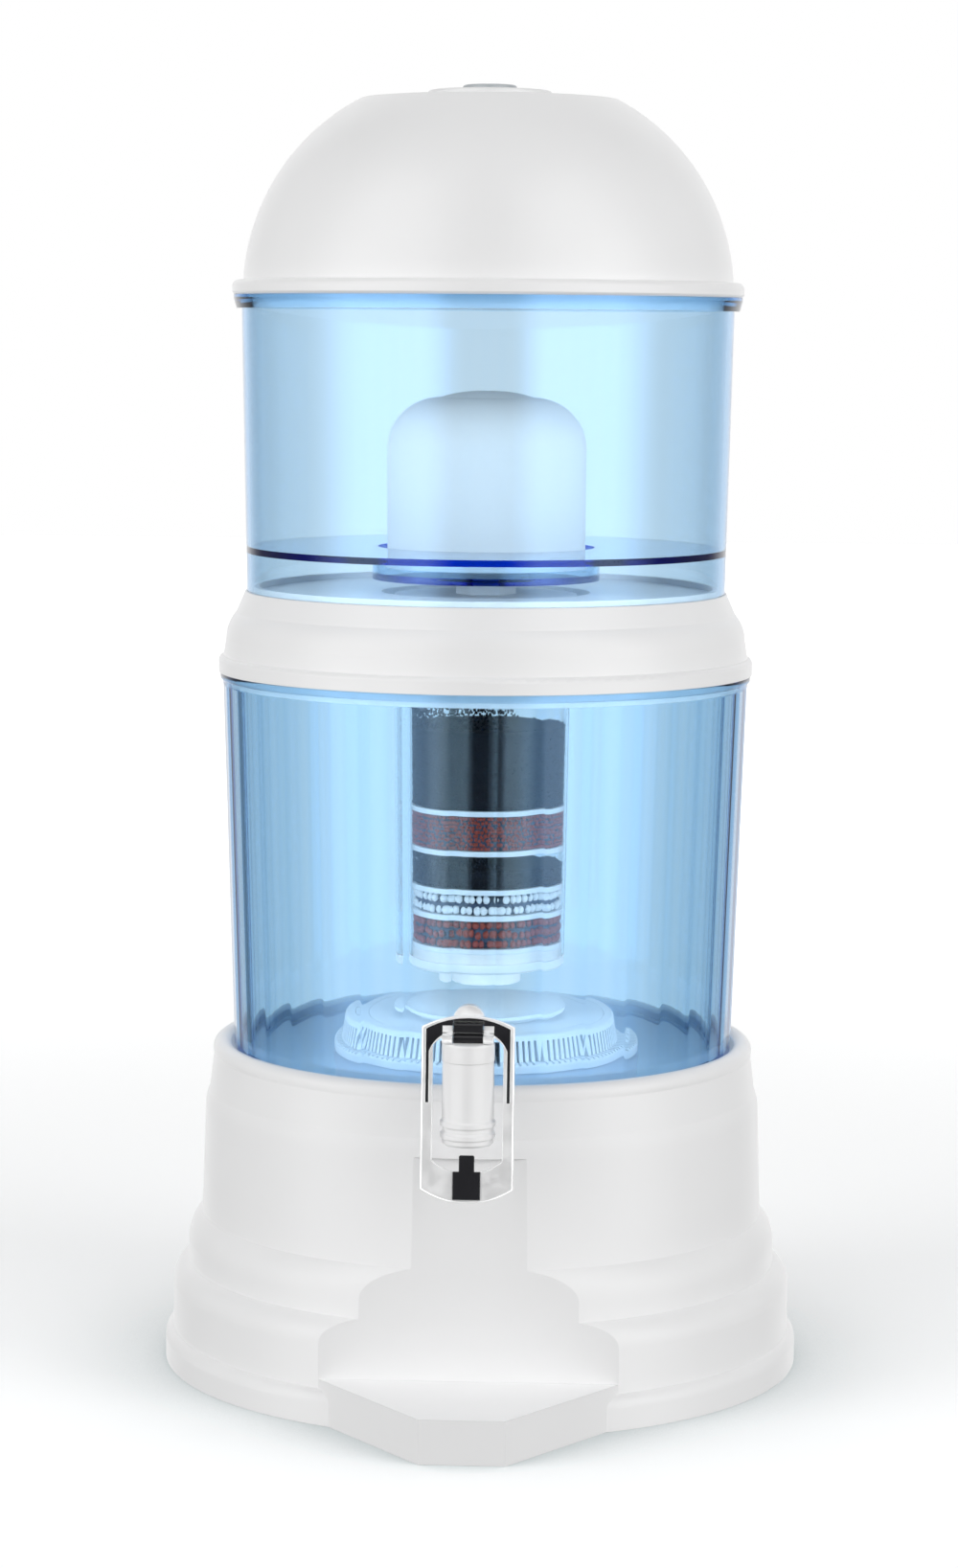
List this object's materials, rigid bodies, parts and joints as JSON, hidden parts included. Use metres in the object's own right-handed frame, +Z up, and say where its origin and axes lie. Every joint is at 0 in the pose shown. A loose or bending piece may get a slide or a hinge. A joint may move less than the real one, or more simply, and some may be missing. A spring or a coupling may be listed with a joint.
{
  "type": "gravity water filter with tap",
  "caption": "Countertop gravity water filter: domed lid over a blue upper tank with ceramic filter, cartridge hanging in a lower tank, stepped stand with drip shelf and push tap.",
  "frame": {"origin": "where the axis of the tanks meets the surface that the stand rests on", "axes": "+Z up along the axis of the tanks; the tap and drip shelf face -Y; +X is to the right of a person who faces the tap"},
  "size_m": [0.2962, 0.3371, 0.59],
  "materials": {
    "white_plastic": "satin",
    "grey_plastic": "satin",
    "blue_clear_plastic": "clear polished",
    "clear_plastic": "clear polished",
    "white_ceramic": "fine matt",
    "pale_plastic": "satin",
    "carbon_granules": "granular",
    "red_ceramic_beads": "matt beads",
    "white_ceramic_beads": "matt beads",
    "mineral_stone": "polished pebbles",
    "silicone_rubber": "matt",
    "spring_steel": "bright",
    "chrome_plate": "polished",
    "black_plastic": "gloss"
  },
  "bodies": {
    "stand_and_tank": {"base_stand": "white_plastic", "lower_tank": "blue_clear_plastic", "tap_body": "white_plastic", "tap_front_washer": "silicone_rubber", "tap_inner_washer": "silicone_rubber", "tap_lock_nut": "pale_plastic", "tap_bonnet": "white_plastic", "tap_spring": "spring_steel"},
    "collar": {"tank_collar": "white_plastic"},
    "upper_vessel": {"upper_tank": "blue_clear_plastic", "ceramic_dome": "white_ceramic", "ceramic_plate": "pale_plastic", "ceramic_seal": "silicone_rubber", "filter_nut": "pale_plastic", "cartridge_cap": "pale_plastic", "cartridge_gasket": "silicone_rubber", "cartridge_shell": "clear_plastic", "cartridge_outlet": "clear_plastic", "cartridge_separator_1": "pale_plastic", "cartridge_separator_2": "pale_plastic", "cartridge_separator_3": "pale_plastic", "cartridge_separator_4": "pale_plastic", "cartridge_separator_5": "pale_plastic", "cartridge_separator_6": "pale_plastic", "upper_carbon_bed": "carbon_granules", "fine_red_beads": "red_ceramic_beads", "lower_carbon_bed": "carbon_granules", "white_beads": "white_ceramic_beads", "coarse_red_beads": "red_ceramic_beads"},
    "lid": {"lid_dome": "white_plastic", "lid_knob": "white_plastic", "knob_insert": "grey_plastic", "knob_screw": "spring_steel", "knob_washer": "spring_steel"},
    "stone_case": {"mineral_case": "pale_plastic", "case_lid": "pale_plastic", "mineral_stones": "mineral_stone"},
    "stem": {"tap_stem": "pale_plastic", "tap_seat_cup": "silicone_rubber", "tap_head": "black_plastic", "tap_head_cap": "chrome_plate", "tap_pivot_pin": "spring_steel"},
    "lever": {"tap_lever": "chrome_plate", "lever_inlay": "black_plastic", "push_pad": "black_plastic"}
  },
  "joints": [
    {"name": "collar_lift", "type": "slide", "parent": "stand_and_tank", "child": "collar", "axis": [0, 0, 1], "range_m": [0, 0.08]},
    {"name": "upper_tank_lift", "type": "slide", "parent": "collar", "child": "upper_vessel", "axis": [0, 0, 1], "range_m": [0, 0.2]},
    {"name": "lid_lift", "type": "slide", "parent": "upper_vessel", "child": "lid", "axis": [0, 0, 1], "range_m": [0, 0.12]},
    {"name": "case_lift", "type": "slide", "parent": "stand_and_tank", "child": "stone_case", "axis": [0, 0, 1], "range_m": [0, 0.01]},
    {"name": "stem_lift", "type": "slide", "parent": "stand_and_tank", "child": "stem", "axis": [0, 0, 1], "range_m": [0, 0.0019], "deforming": ["tap_spring"]},
    {"name": "lever_push", "type": "hinge", "parent": "stem", "child": "lever", "pos_m": [0, -0.152, 0.18], "axis": [1, 0, 0], "range_deg": [0, 18], "stiffness_Nm_per_rad": 0.3, "springref_deg": -8.59}
  ],
  "couplings": [
    {"joint": "stem_lift", "follows": "lever_push", "m_per_rad": 0.00589}
  ]
}
